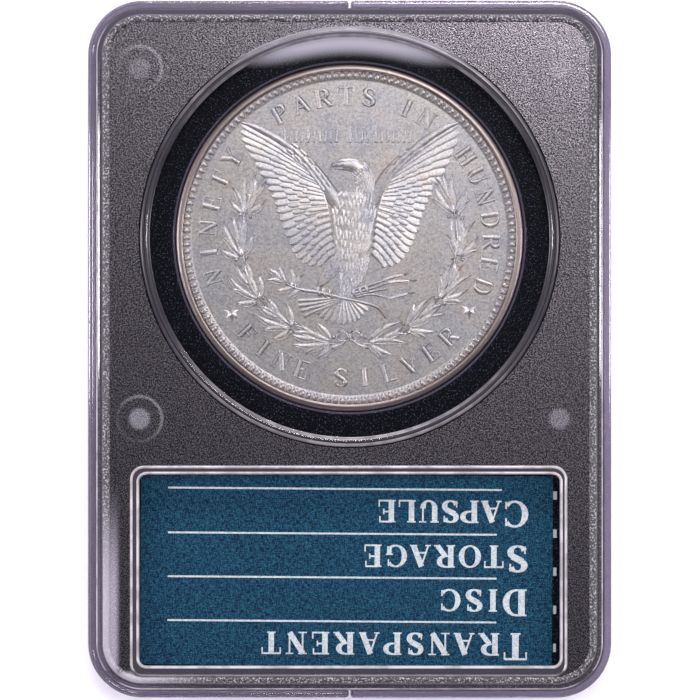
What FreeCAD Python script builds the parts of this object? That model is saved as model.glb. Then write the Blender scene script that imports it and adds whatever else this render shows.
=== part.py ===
"""Coin slab: two alike clear plastic halves closed round a black core that holds a coin and two paper labels.

The slab lies flat on its front half. Origin at the middle of the underside, +Z up out of the rear half,
+Y along the slab towards the coin, +X across it. Millimetres.
"""

import FreeCAD, Part
import math
import os

# Overall slab
SLAB_WIDTH = 57.2
SLAB_HEIGHT = 76.2
SLAB_THICKNESS = 6.4
CORNER_RADIUS = 6.0
PARTING_Z = SLAB_THICKNESS / 2

# Edge of one half, measured inwards from the outline and upwards from the underside
SKIRT_WIDTH = 0.8
SKIRT_GAP = 0.05
SKIRT_TOP_Z = 5.4
SKIRT_END_GAP = 0.4
SKIRT_ROUND = 0.3
FIELD_Z = 6.15
BEVEL_WIDTH = 0.8
BEVEL_DROP = 0.55
BEAD_INSET = 2.05
BEAD_RADIUS = 0.45

# Cavity and core
CAVITY_INSET = 2.6
CORE_INSET = 2.65
CORE_THICKNESS = 2.6
CORE_TOP_Z = PARTING_Z + CORE_THICKNESS / 2
POCKET_DEPTH = 0.3
POCKET_FLOOR_Z = CORE_TOP_Z - POCKET_DEPTH
POCKET_MARGIN = 0.15
POCKET_CORNER = 0.3

# Coin, its hole in the core and the ring round its window
COIN_Y = 12.2
COIN_RADIUS = 19.05
COIN_THICKNESS = 2.4
COIN_RIM_WIDTH = 1.3
COIN_FIELD_DEPTH = 0.15
COIN_EDGE_ROUND = 0.12
WELL_RADIUS = 19.35
RING_INNER = 21.85
RING_OUTER = 23.0
RING_BEVEL = 0.3
WINDOW_Z = 6.05
RING_ROOT_Z = WINDOW_Z - 0.2

# Label window
FRAME_WIDTH = 47.8
FRAME_HEIGHT = 23.4
FRAME_CENTRE_Y = -24.1
FRAME_CORNER = 1.5
OPENING_WIDTH = 46.0
OPENING_HEIGHT = 21.3
OPENING_CENTRE_Y = -24.25
OPENING_CORNER = 0.8
FRAME_BEVEL = 0.28

# Labels
LABEL_WIDTH = 45.1
LABEL_HEIGHT = 20.9
LABEL_THICKNESS = 0.2
LABEL_TURN_DEG = -0.43
LABEL_SHIFT_X = -0.35
LABEL_CENTRE_Y = -24.2
NIB_COUNT = 5
NIB_PITCH = 4.17
NIB_LENGTH = 0.45
NIB_WIDTH = 0.9

# Alignment posts
POST_X = 22.9
POST_YS = (30.6, -7.6)
PIN_RADIUS = 1.1
PIN_END_GAP = 0.1
SOCKET_INNER = 1.15
SOCKET_OUTER = 2.45
POST_CLEARANCE = 0.05

# How far a cutting shape runs past the surface that it cuts
OVERSHOOT = 1.0
# Edges this close to a height count as lying at it
LEVEL_TOLERANCE = 1e-4

UP = FreeCAD.Vector(0, 0, 1)
RIGHT = FreeCAD.Vector(1, 0, 0)
HALF_TURN_AXIS = FreeCAD.Vector(0, 1, 0)
MIDDLE = FreeCAD.Vector(0, 0, PARTING_Z)


def rounded_wire(width, height, radius, centre_y=0.0, z=0.0):
    """A closed outline of four straight sides joined by quarter circles."""
    half_w = width / 2
    half_h = height / 2
    middles = (
        (half_w - radius, half_h - radius, 0),
        (-half_w + radius, half_h - radius, 90),
        (-half_w + radius, -half_h + radius, 180),
        (half_w - radius, -half_h + radius, 270),
    )
    arcs = []
    for x, y, start in middles:
        circle = Part.Circle(FreeCAD.Vector(x, centre_y + y, z), UP, radius)
        arcs.append(Part.ArcOfCircle(circle, math.radians(start), math.radians(start + 90)))
    edges = []
    for index, arc in enumerate(arcs):
        follower = arcs[(index + 1) % len(arcs)]
        edges.append(arc.toShape())
        edges.append(Part.LineSegment(arc.EndPoint, follower.StartPoint).toShape())
    return Part.Wire(edges)


def rounded_prism(width, height, radius, low_z, high_z, centre_y=0.0):
    """An upright block on a rounded outline."""
    face = Part.Face(rounded_wire(width, height, radius, centre_y, low_z))
    return face.extrude(UP * (high_z - low_z))


def inset_prism(inset, low_z, high_z):
    """The slab's own outline drawn in by inset, as a block."""
    width = SLAB_WIDTH - 2 * inset
    height = SLAB_HEIGHT - 2 * inset
    return rounded_prism(width, height, CORNER_RADIUS - inset, low_z, high_z)


def cylinder(radius, low_z, high_z, x=0.0, y=0.0):
    """An upright cylinder."""
    return Part.makeCylinder(radius, high_z - low_z, FreeCAD.Vector(x, y, low_z), UP)


def edges_at(shape, z):
    """The edges that lie wholly at one height."""
    found = []
    for edge in shape.Edges:
        box = edge.BoundBox
        if max(abs(box.ZMin - z), abs(box.ZMax - z)) < LEVEL_TOLERANCE:
            found.append(edge)
    return found


def block_with_bevel():
    """The half's main block, its top edge bevelled down towards the skirt."""
    block = inset_prism(SKIRT_WIDTH + SKIRT_GAP, PARTING_Z, FIELD_Z)
    return block.makeChamfer(BEVEL_DROP, BEVEL_WIDTH, edges_at(block, FIELD_Z))


def skirt():
    """The outer lip on the low-X half of the outline, which reaches past the parting plane."""
    low_z = SLAB_THICKNESS - SKIRT_TOP_Z
    outer = inset_prism(0, low_z, SKIRT_TOP_Z)
    rounded = outer.makeFillet(SKIRT_ROUND, edges_at(outer, SKIRT_TOP_Z) + edges_at(outer, low_z))
    hollow = rounded.cut(inset_prism(SKIRT_WIDTH, low_z - OVERSHOOT, PARTING_Z))
    hollow = hollow.cut(inset_prism(SKIRT_WIDTH + SKIRT_GAP, PARTING_Z, SKIRT_TOP_Z + OVERSHOOT))
    length = SLAB_HEIGHT + 2 * OVERSHOOT
    corner = FreeCAD.Vector(-SLAB_WIDTH, -length / 2, low_z - OVERSHOOT)
    keep = Part.makeBox(SLAB_WIDTH - SKIRT_END_GAP / 2, length, SLAB_THICKNESS, corner)
    return hollow.common(keep)


def bead():
    """The rounded bead that runs round the face, just inside the bevel."""
    z = FIELD_Z - (BEAD_RADIUS - (SLAB_THICKNESS - FIELD_Z))
    width = SLAB_WIDTH - 2 * BEAD_INSET
    height = SLAB_HEIGHT - 2 * BEAD_INSET
    path = rounded_wire(width, height, CORNER_RADIUS - BEAD_INSET, 0.0, z)
    start = FreeCAD.Vector(width / 2, 0, z)
    circle = Part.Circle(start, HALF_TURN_AXIS, BEAD_RADIUS)
    return path.makePipe(Part.Face(Part.Wire(circle.toShape())))


def coin_ring():
    """The raised ring round the coin window, bevelled on both sides."""
    points = (
        (RING_INNER, RING_ROOT_Z),
        (RING_INNER, SLAB_THICKNESS - RING_BEVEL),
        (RING_INNER + RING_BEVEL, SLAB_THICKNESS),
        (RING_OUTER - RING_BEVEL, SLAB_THICKNESS),
        (RING_OUTER, SLAB_THICKNESS - RING_BEVEL),
        (RING_OUTER, RING_ROOT_Z),
    )
    corners = [FreeCAD.Vector(r, COIN_Y, z) for r, z in points]
    face = Part.Face(Part.makePolygon(corners + corners[:1]))
    return face.revolve(FreeCAD.Vector(0, COIN_Y, 0), UP, 360)


def label_opening(low_z):
    """The space over the label window, from low_z up and out of the face."""
    high_z = SLAB_THICKNESS + OVERSHOOT
    return rounded_prism(
        OPENING_WIDTH, OPENING_HEIGHT, OPENING_CORNER, low_z, high_z, OPENING_CENTRE_Y
    )


def label_frame():
    """The raised frame round the label window, bevelled on both sides."""
    outer = rounded_prism(
        FRAME_WIDTH, FRAME_HEIGHT, FRAME_CORNER, RING_ROOT_Z, SLAB_THICKNESS, FRAME_CENTRE_Y
    )
    frame = outer.cut(label_opening(RING_ROOT_Z - OVERSHOOT))
    return frame.makeChamfer(FRAME_BEVEL, edges_at(frame, SLAB_THICKNESS))


def make_half():
    """One half of the slab, as the rear half lies: skirt and sockets on the low-X side, pins on the other."""
    half = block_with_bevel()
    half = half.cut(inset_prism(CAVITY_INSET, PARTING_Z - OVERSHOOT, CORE_TOP_Z))
    half = half.fuse(skirt())
    half = half.fuse(bead())
    half = half.cut(cylinder(RING_INNER, WINDOW_Z, SLAB_THICKNESS + OVERSHOOT, 0, COIN_Y))
    half = half.cut(label_opening(WINDOW_Z))
    half = half.fuse(coin_ring())
    half = half.fuse(label_frame())
    for y in POST_YS:
        tube = cylinder(SOCKET_OUTER, PARTING_Z + POST_CLEARANCE, CORE_TOP_Z, -POST_X, y)
        bore = cylinder(SOCKET_INNER, PARTING_Z, CORE_TOP_Z, -POST_X, y)
        pin_low_z = SLAB_THICKNESS - CORE_TOP_Z + PIN_END_GAP
        half = half.fuse(tube.cut(bore))
        half = half.fuse(cylinder(PIN_RADIUS, pin_low_z, CORE_TOP_Z, POST_X, y))
    return half.removeSplitter()


def turned_over(shape):
    """The same shape turned half way about the slab's long axis, as the other side of the slab is."""
    other = shape.copy()
    other.rotate(MIDDLE, HALF_TURN_AXIS, 180)
    return other


def make_core():
    """The black sheet between the halves: a hole for the coin, label pockets and stepped post holes."""
    low_z = SLAB_THICKNESS - CORE_TOP_Z
    core = inset_prism(CORE_INSET, low_z, CORE_TOP_Z)
    core = core.cut(cylinder(WELL_RADIUS, low_z - OVERSHOOT, CORE_TOP_Z + OVERSHOOT, 0, COIN_Y))
    pocket = rounded_prism(
        OPENING_WIDTH + 2 * POCKET_MARGIN,
        OPENING_HEIGHT + 2 * POCKET_MARGIN,
        POCKET_CORNER,
        POCKET_FLOOR_Z,
        CORE_TOP_Z + OVERSHOOT,
        OPENING_CENTRE_Y,
    )
    core = core.cut(pocket)
    core = core.cut(turned_over(pocket))
    for y in POST_YS:
        wide = cylinder(SOCKET_OUTER + POST_CLEARANCE, PARTING_Z, CORE_TOP_Z + OVERSHOOT, -POST_X, y)
        narrow = cylinder(
            SOCKET_INNER + POST_CLEARANCE, low_z - OVERSHOOT, PARTING_Z + OVERSHOOT, -POST_X, y
        )
        stepped = wide.fuse(narrow)
        core = core.cut(stepped)
        core = core.cut(turned_over(stepped))
    return core


def make_coin():
    """The coin blank: a disc with a raised rim on both faces."""
    half = COIN_THICKNESS / 2
    z = PARTING_Z
    coin = cylinder(COIN_RADIUS, z - half, z + half, 0, COIN_Y)
    coin = coin.makeFillet(COIN_EDGE_ROUND, edges_at(coin, z - half) + edges_at(coin, z + half))
    field_radius = COIN_RADIUS - COIN_RIM_WIDTH
    upper = cylinder(field_radius, z + half - COIN_FIELD_DEPTH, z + half + OVERSHOOT, 0, COIN_Y)
    coin = coin.cut(upper)
    return coin.cut(turned_over(upper))


def make_label(nibs):
    """A paper label in its pocket. With nibs, its high-X edge keeps the torn ends of a perforation."""
    low_z = CORE_TOP_Z - LABEL_THICKNESS - POST_CLEARANCE
    corner = FreeCAD.Vector(-LABEL_WIDTH / 2, -LABEL_HEIGHT / 2, low_z)
    label = Part.makeBox(LABEL_WIDTH, LABEL_HEIGHT, LABEL_THICKNESS, corner)
    if nibs:
        for index in range(NIB_COUNT):
            y = (index - (NIB_COUNT - 1) / 2) * NIB_PITCH - NIB_WIDTH / 2
            start = FreeCAD.Vector(LABEL_WIDTH / 2 - NIB_LENGTH, y, low_z)
            label = label.fuse(Part.makeBox(2 * NIB_LENGTH, NIB_WIDTH, LABEL_THICKNESS, start))
        label = label.removeSplitter()
        label.rotate(FreeCAD.Vector(), UP, LABEL_TURN_DEG)
        label.translate(RIGHT * LABEL_SHIFT_X)
    label.translate(FreeCAD.Vector(0, LABEL_CENTRE_Y, 0))
    return label


rear_shell = make_half()
nodes = {
    "rear_shell": rear_shell,
    "front_shell": turned_over(rear_shell),
    "core_insert": make_core(),
    "coin": make_coin(),
    "rear_label": make_label(nibs=True),
    "front_label": turned_over(make_label(nibs=False)),
}

os.makedirs("parts", exist_ok=True)
for name, shape in nodes.items():
    solids = shape.Solids
    assert len(solids) == 1, f"{name} is {len(solids)} solids"
    assert shape.isValid(), f"{name} is not valid"
    solids[0].exportStep(f"parts/{name}.step")
    box = shape.BoundBox
    print(f"{name}: {shape.Volume:.1f} mm3, z {box.ZMin:.2f} to {box.ZMax:.2f}")
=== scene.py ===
"""Looks of a sealed coin slab: clear halves, black core, paper labels and a struck silver coin."""

import math

import bmesh
import bpy
import numpy as np
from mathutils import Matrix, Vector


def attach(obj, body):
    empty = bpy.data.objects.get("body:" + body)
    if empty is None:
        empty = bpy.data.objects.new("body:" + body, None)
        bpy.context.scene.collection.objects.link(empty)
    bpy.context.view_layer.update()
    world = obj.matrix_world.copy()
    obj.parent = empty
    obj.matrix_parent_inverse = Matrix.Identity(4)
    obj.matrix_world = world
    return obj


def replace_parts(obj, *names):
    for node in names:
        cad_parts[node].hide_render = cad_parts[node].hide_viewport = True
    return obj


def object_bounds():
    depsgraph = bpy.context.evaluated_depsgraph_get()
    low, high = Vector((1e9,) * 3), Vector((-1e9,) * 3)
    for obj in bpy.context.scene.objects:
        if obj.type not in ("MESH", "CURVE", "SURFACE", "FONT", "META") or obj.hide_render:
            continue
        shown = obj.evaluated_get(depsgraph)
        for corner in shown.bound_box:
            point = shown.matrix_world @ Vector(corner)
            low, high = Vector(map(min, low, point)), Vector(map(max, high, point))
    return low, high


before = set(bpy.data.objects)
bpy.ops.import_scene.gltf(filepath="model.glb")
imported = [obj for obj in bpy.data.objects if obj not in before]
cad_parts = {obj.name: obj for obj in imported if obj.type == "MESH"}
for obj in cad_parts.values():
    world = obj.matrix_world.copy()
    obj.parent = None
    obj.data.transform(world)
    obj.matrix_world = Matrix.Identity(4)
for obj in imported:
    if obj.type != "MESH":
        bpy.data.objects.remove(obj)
cad_low, cad_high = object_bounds()

# ---- Studio ----------------------------------------------------------------------------------
# The slab lies on a pale table, rear half up. A soft light hangs high, a little beyond the coin
# end, low strips on all four sides light the edges and the relief, and a dim sky fills in. The
# camera looks straight down.
MM = 0.001
FOCAL_MM = 200.0
SENSOR_MM = 36.0
VIEW_HEIGHT = 76.27 * MM
VIEW_SHIFT = (0.05 * MM, -0.1 * MM)
TABLE_SIZE = 3.0
SKY_LIGHT = 0.045


class Socket:
    """One output of a material's nodes. Arithmetic on values adds Math nodes."""

    def __init__(self, paint, socket):
        self.paint = paint
        self.socket = socket

    def math(self, operation, *values):
        return self.paint.node("Math", {"operation": operation}, dict(enumerate(values)))

    def __add__(self, other):
        return self.math("ADD", self, other)

    def __radd__(self, other):
        return self.math("ADD", other, self)

    def __sub__(self, other):
        return self.math("SUBTRACT", self, other)

    def __rsub__(self, other):
        return self.math("SUBTRACT", other, self)

    def __mul__(self, other):
        return self.math("MULTIPLY", self, other)

    def __rmul__(self, other):
        return self.math("MULTIPLY", other, self)

    def __pow__(self, other):
        return self.math("POWER", self, other)

    def __abs__(self):
        return self.math("ABSOLUTE", self)

    def step(self, low, high):
        """0 below low and 1 above high, or the other way round where low is above high."""
        settings = {"interpolation_type": "SMOOTHSTEP"}
        return self.paint.node("MapRange", settings, {0: self, 1: low, 2: high})


class Paint:
    """A material and its nodes. node() adds one: its type, its settings, then its sockets."""

    def __init__(self, name):
        self.material = bpy.data.materials.new(name)
        self.material.use_nodes = True
        self.tree = self.material.node_tree
        self.tree.nodes.clear()

    def node(self, kind, settings=None, sockets=None, out=0):
        made = self.tree.nodes.new("ShaderNode" + kind)
        for key, value in (settings or {}).items():
            setattr(made, key, value)
        for key, value in (sockets or {}).items():
            if isinstance(value, Socket):
                self.tree.links.new(value.socket, made.inputs[key])
            else:
                made.inputs[key].default_value = value
        return Socket(self, made.outputs[out]) if len(made.outputs) else None

    def place(self, scale=(1, 1, 1), turn=0.0):
        """Object coordinates in metres, scaled and turned about Z."""
        own = self.node("TexCoord", out="Object")
        sockets = {"Vector": own, "Scale": scale, "Rotation": (0, 0, turn)}
        return self.node("Mapping", None, sockets)

    def x_and_y(self):
        """Object coordinates X and Y in metres."""
        x = self.node("SeparateXYZ", None, {0: self.place()})
        return x, Socket(self, x.socket.node.outputs["Y"])

    def noise(self, size, detail=2.0, where=None):
        """Noise whose blotches are about size metres across."""
        sockets = {"Vector": where or self.place(), "Scale": 1 / size, "Detail": detail}
        return self.node("TexNoise", None, sockets)

    def bump(self, height, strength, depth):
        """A bent normal, from a height between 0 and 1 that stands for a depth in metres."""
        return self.node("Bump", None, {"Height": height, "Strength": strength, "Distance": depth})

    def blend(self, factor, low, high):
        """The colour low where factor is 0 and high where it is 1."""
        return self.node("Mix", {"data_type": "RGBA"}, {0: factor, 6: low, 7: high}, out=2)

    def surface(self, shader):
        self.node("OutputMaterial", None, {"Surface": shader})
        return self.material

    def principled(self, sockets):
        """The finished material, with one Principled shader."""
        return self.surface(self.node("BsdfPrincipled", None, sockets))


def add_mesh(name, points, faces, materials, slots=None, sharp_deg=38.0):
    """A closed mesh from points in metres and lists of corner numbers. Doubles are welded, faces
    are turned outwards, and edges that bend by more than sharp_deg stay crisp."""
    mesh = bpy.data.meshes.new(name)
    mesh.from_pydata(points.reshape(-1, 3).tolist(), [], faces)
    for material in materials:
        mesh.materials.append(material)
    if slots is not None:
        mesh.polygons.foreach_set("material_index", slots)
    work = bmesh.new()
    work.from_mesh(mesh)
    bmesh.ops.remove_doubles(work, verts=work.verts, dist=2e-7)
    bmesh.ops.recalc_face_normals(work, faces=work.faces)
    work.to_mesh(mesh)
    work.free()
    mesh.polygons.foreach_set("use_smooth", np.ones(len(mesh.polygons), bool))
    mesh.set_sharp_from_angle(angle=math.radians(sharp_deg))
    made = bpy.data.objects.new(name, mesh)
    bpy.context.scene.collection.objects.link(made)
    return made


def area_light(name, place, size, power, colour):
    """A soft rectangular lamp at place that faces the slab's middle."""
    data = bpy.data.lights.new(name, "AREA")
    data.shape = "RECTANGLE"
    data.size, data.size_y = size
    data.energy = power
    data.color = colour
    lamp = bpy.data.objects.new(name, data)
    bpy.context.scene.collection.objects.link(lamp)
    lamp.location = place
    lamp.rotation_euler = lamp.location.to_track_quat("Z", "Y").to_euler()


middle = (cad_low + cad_high) / 2
camera_data = bpy.data.cameras.new("camera")
camera_data.lens = FOCAL_MM
camera_data.sensor_width = SENSOR_MM
camera_data.clip_start = 0.01
camera = bpy.data.objects.new("camera", camera_data)
bpy.context.scene.collection.objects.link(camera)
camera_rise = VIEW_HEIGHT * FOCAL_MM / SENSOR_MM
camera.location = (middle.x + VIEW_SHIFT[0], middle.y + VIEW_SHIFT[1], cad_high.z + camera_rise)
bpy.context.scene.camera = camera
bpy.context.scene.view_settings.view_transform = "Standard"

sky = bpy.data.worlds.new("sky")
sky.use_nodes = True
sky.node_tree.nodes["Background"].inputs["Color"].default_value = (0.96, 0.97, 1.0, 1)
sky.node_tree.nodes["Background"].inputs["Strength"].default_value = SKY_LIGHT
bpy.context.scene.world = sky
SIDE_STRIP, END_STRIP = (0.06, 0.34), (0.34, 0.06)
STRIP_TINT = (0.98, 0.96, 1.0)
LAMPS = (
    ("key", (0.09, 0.23, 0.68), (0.24, 0.12), 2.2, (1.0, 0.98, 0.96)),
    ("left_strip", (-0.42, 0.02, 0.3), SIDE_STRIP, 1.8, STRIP_TINT),
    ("right_strip", (0.42, 0.02, 0.3), SIDE_STRIP, 1.5, STRIP_TINT),
    ("near_strip", (0.0, -0.42, 0.28), END_STRIP, 0.6, STRIP_TINT),
    ("far_strip", (0.0, 0.5, 0.24), END_STRIP, 2.4, STRIP_TINT),
)
for lamp in LAMPS:
    area_light(*lamp)

table_paint = Paint("pale_table")
table_cloud = table_paint.noise(0.02, 3.0)
table_tone = table_paint.blend(table_cloud, (0.9, 0.9, 0.9, 1), (0.94, 0.94, 0.94, 1))
table_material = table_paint.principled({"Base Color": table_tone, "Roughness": 0.7})
half_table = TABLE_SIZE / 2
table_corners = np.array([(-1, -1), (1, -1), (1, 1), (-1, 1)]) * half_table
table_points = np.column_stack([table_corners, np.full(4, cad_low.z)])
table = add_mesh("table", table_points, [[0, 1, 2, 3]], [table_material])

# ---- Clear halves ----------------------------------------------------------------------------
# Both halves are one polystyrene moulding, one turned over about the long axis, welded together
# round the edge. Windows, rings and edge are polished in the mould; the rest is spark-textured.
OUTLINE_STEP = 0.45 * MM
CORNER_RADIUS = 6.0 * MM
CORNER_STEPS = 22
SPLIT_Y = -11.6 * MM
COIN_CENTRE = np.array([0.0, 12.2 * MM])
LABEL_CENTRE = np.array([0.0, -24.2 * MM])
FACE_Z = 6.15 * MM
WINDOW_Z = 6.05 * MM
SEAM_Z = 3.2 * MM
CEILING_Z = 4.52 * MM
BODY_INSET = 0.85 * MM
CAVITY_INSET = 2.6 * MM
FIELD_INSET = 2.46 * MM
TOP_Z = cad_high.z
THICKNESS = cad_high.z - cad_low.z
BEAD_INSET = 2.05 * MM
BEAD_RADIUS = 0.45 * MM
RING_INNER = 21.85
RING_OUTER = 23.0
RING_ROOTS = (RING_OUTER, 22.46)
RING_TOP = (22.2, 22.65)
POST_X = 22.9 * MM
POST_YS = (30.6 * MM, -7.6 * MM)
HALF_WIDTH = cad_high.x
HALF_HEIGHT = cad_high.y
SKIRT_REACH = 5.4
SKIRT_WALL = 0.8
END_GAP = 0.09 * MM
END_CLEAR = 0.36 * MM
END_STEPS = (0, 0.04, 0.1, 0.2, 0.32)
END_SIZES = (0.45, 0.68, 0.84, 0.95, 1.0)

SMOOTH, BEAD, FROST, PANE, LIP, RING_LIP = range(6)


def spoke(turn):
    """Where spokes at angles in radians meet the unit circle: (cos, sin) along the last axis."""
    return np.stack([np.cos(turn), np.sin(turn)], -1)


def outline():
    """The slab's outline as points and outward normals, anticlockwise from the right-hand end of
    the split line: straight sides joined by quarter circles. Also the number of the point where
    it reaches the left-hand end."""
    flat_x = HALF_WIDTH - CORNER_RADIUS
    flat_y = HALF_HEIGHT - CORNER_RADIUS
    points, normals, left_end = [], [], 0

    def side(start, end, normal):
        start, end = np.array(start), np.array(end)
        count = int(np.ceil(np.linalg.norm(end - start) / OUTLINE_STEP))
        share = np.arange(count)[:, None] / count
        points.append(start + (end - start) * share)
        normals.append(np.tile(np.array(normal, float), (count, 1)))

    def corner(x, y, start):
        turn = start + np.arange(CORNER_STEPS) / CORNER_STEPS * np.pi / 2
        points.append(np.array([x, y]) + CORNER_RADIUS * spoke(turn))
        normals.append(spoke(turn))

    side((HALF_WIDTH, SPLIT_Y), (HALF_WIDTH, flat_y), (1, 0))
    corner(flat_x, flat_y, 0)
    side((flat_x, HALF_HEIGHT), (-flat_x, HALF_HEIGHT), (0, 1))
    corner(-flat_x, flat_y, np.pi / 2)
    side((-HALF_WIDTH, flat_y), (-HALF_WIDTH, SPLIT_Y), (-1, 0))
    left_end = sum(len(p) for p in points)
    side((-HALF_WIDTH, SPLIT_Y), (-HALF_WIDTH, -flat_y), (-1, 0))
    corner(-flat_x, -flat_y, np.pi)
    side((-flat_x, -HALF_HEIGHT), (flat_x, -HALF_HEIGHT), (0, -1))
    corner(flat_x, -flat_y, 3 * np.pi / 2)
    side((HALF_WIDTH, -flat_y), (HALF_WIDTH, SPLIT_Y), (1, 0))
    return np.concatenate(points), np.concatenate(normals), left_end


def raised(loop, z):
    """A flat loop of points lifted to height z, as one row of a grid."""
    return np.column_stack([loop, np.full(len(loop), z)])[None]


def band(path, normals, profile):
    """A grid: each row is the path drawn in by an inset and lifted to a height of the profile."""
    insets = profile[:, 0][:, None, None]
    flat = path[None] - insets * normals[None]
    heights = np.broadcast_to(profile[:, 1][:, None, None], flat.shape[:2] + (1,))
    return np.concatenate([flat, heights], 2)


def quads(rows, columns, first):
    """Corner numbers of a grid's quads, its points numbered row by row from first. The last
    column joins the first."""
    row = np.arange(rows - 1)[:, None]
    column = np.arange(columns)[None]
    follower = (column + 1) % columns
    corners = [row * columns + column, row * columns + follower]
    corners += [(row + 1) * columns + follower, (row + 1) * columns + column]
    return first + np.stack(np.broadcast_arrays(*corners), -1).reshape(-1, 4)


def rounded_loop(rays, origin, width, height, radius, centre):
    """Where rays from origin leave a rounded rectangle, found by halving an interval forty times:
    a point is inside while its distance past the inner corner square is under the radius."""
    near = np.zeros(len(rays))
    far = np.full(len(rays), 2 * HALF_HEIGHT)
    inner = np.array([width, height]) / 2 - radius
    for _ in range(40):
        half_way = (near + far) / 2
        past = np.abs(origin + rays * half_way[:, None] - centre) - inner
        outside = np.linalg.norm(np.maximum(past, 0), axis=1)
        outside += np.minimum(past.max(1), 0) - radius
        near = np.where(outside < 0, half_way, near)
        far = np.where(outside < 0, far, half_way)
    return origin + rays * near[:, None]


def arc_profile(inset, z, radius, start_deg, end_deg, steps):
    """Points of a round bead in section, as inset and height."""
    turn = np.radians(np.linspace(start_deg, end_deg, steps))
    return np.column_stack([inset - radius * np.cos(turn), z + radius * np.sin(turn)])


def edge_profile():
    """Section of a half's edge from the cavity, over the wall, bevel and bead, to the face."""
    bead_z = TOP_Z - BEAD_RADIUS
    lower = [(CAVITY_INSET, CEILING_Z), (CAVITY_INSET, SEAM_Z), (BODY_INSET, SEAM_Z)]
    wall = [(0.85, 5.45), (0.87, 5.54), (0.95, 5.63), (1.09, 5.73), (1.3, 5.87), (1.55, 6.03)]
    bead = arc_profile(BEAD_INSET, bead_z, BEAD_RADIUS, 25, 155, 11)
    return np.concatenate([np.array(lower), np.array(wall) * MM, bead, [(FIELD_INSET, FACE_Z)]])


def skirt(points, normals):
    """The lip on the low-X half of the outline: a rounded bar that reaches past the seam, its
    section drawn in towards its own middle at both ends so that they are round."""
    on_side = points[:, 0] < -END_GAP
    first = np.argmax(on_side)
    order = (np.arange(on_side.sum()) + first) % len(points)
    path, out = points[order], normals[order]
    ends = np.array([[-END_GAP, path[0, 1]], [-END_GAP, path[-1, 1]]])
    extra = np.array(END_STEPS)[:, None] * (-MM, 0)
    inside = path[:, 0] < -END_GAP - END_CLEAR
    count = len(END_STEPS)
    path = np.concatenate([ends[0] + extra, path[inside], ends[1] + extra[::-1]])
    out = np.concatenate([np.repeat(out[:1], count, 0), out[inside], np.repeat(out[-1:], count, 0)])
    low, high = THICKNESS / MM - SKIRT_REACH, SKIRT_REACH
    seam, block = SEAM_Z / MM, BODY_INSET / MM - 0.01
    section = [(0, low + 0.3), (0.03, low + 0.12), (0.12, low + 0.03), (0.3, low)]
    section += [(SKIRT_WALL - 0.1, low), (SKIRT_WALL, low + 0.1), (SKIRT_WALL, seam), (block, seam)]
    section += [(block, high - 0.3), (0.77, high - 0.2), (0.62, high - 0.08), (0.5, high - 0.02)]
    section += [(0.42, high), (0.3, high), (0.2, high - 0.02), (0.11, high - 0.08)]
    section += [(0.04, high - 0.2), (0, high - 0.4)]
    grid = band(path, out, np.array(section) * MM)
    centre = grid.mean(0, keepdims=True)
    shrink = np.ones(len(path))
    shrink[:count] = END_SIZES
    shrink[-count:] = END_SIZES[::-1]
    return (centre + (grid - centre) * shrink[None, :, None]).transpose(1, 0, 2)


def post(x, y, profile, sides=40):
    """A round post, tube or rib from a section of radius and height."""
    turn = np.arange(sides) / sides * 2 * np.pi
    flat = np.array([x, y]) + profile[:, 0][:, None, None] * spoke(turn)[None]
    heights = np.broadcast_to(profile[:, 1][:, None, None], flat.shape[:2] + (1,))
    return np.concatenate([flat, heights], 2)


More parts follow.
